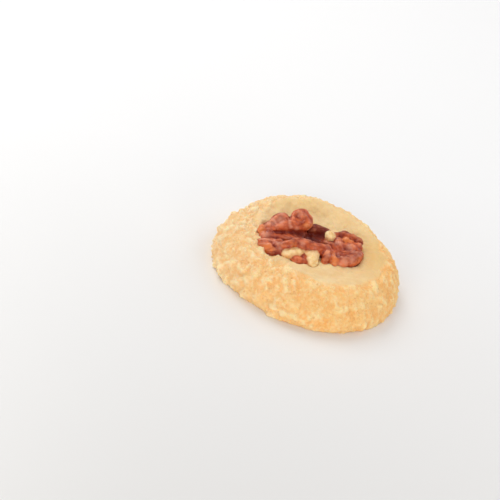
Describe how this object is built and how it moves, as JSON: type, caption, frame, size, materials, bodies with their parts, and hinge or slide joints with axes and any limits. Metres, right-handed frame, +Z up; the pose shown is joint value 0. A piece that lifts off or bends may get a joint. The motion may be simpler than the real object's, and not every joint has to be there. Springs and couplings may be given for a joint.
{
  "type": "walnut shortbread biscuit",
  "caption": "Round shortbread biscuit with a rough crumbly side, a smooth pressed dish on top and half a walnut kernel sunk in the dish.",
  "frame": {"origin": "middle of the flat base that the biscuit rests on", "axes": "+Z up through the dish, +X to the right and -Y towards the side seen first; the walnut half lies 24 degrees round from +X"},
  "size_m": [0.0543, 0.0557, 0.0149],
  "materials": {
    "baked_dough": "pale golden baked dough, matt, with rough crumb on the side and a smoother dish",
    "walnut_skin": "reddish brown roasted walnut skin, lightly glazed, with cream flesh where it broke"
  },
  "bodies": {
    "root": {"biscuit": "baked_dough", "walnut_half": "walnut_skin"}
  },
  "joints": []
}
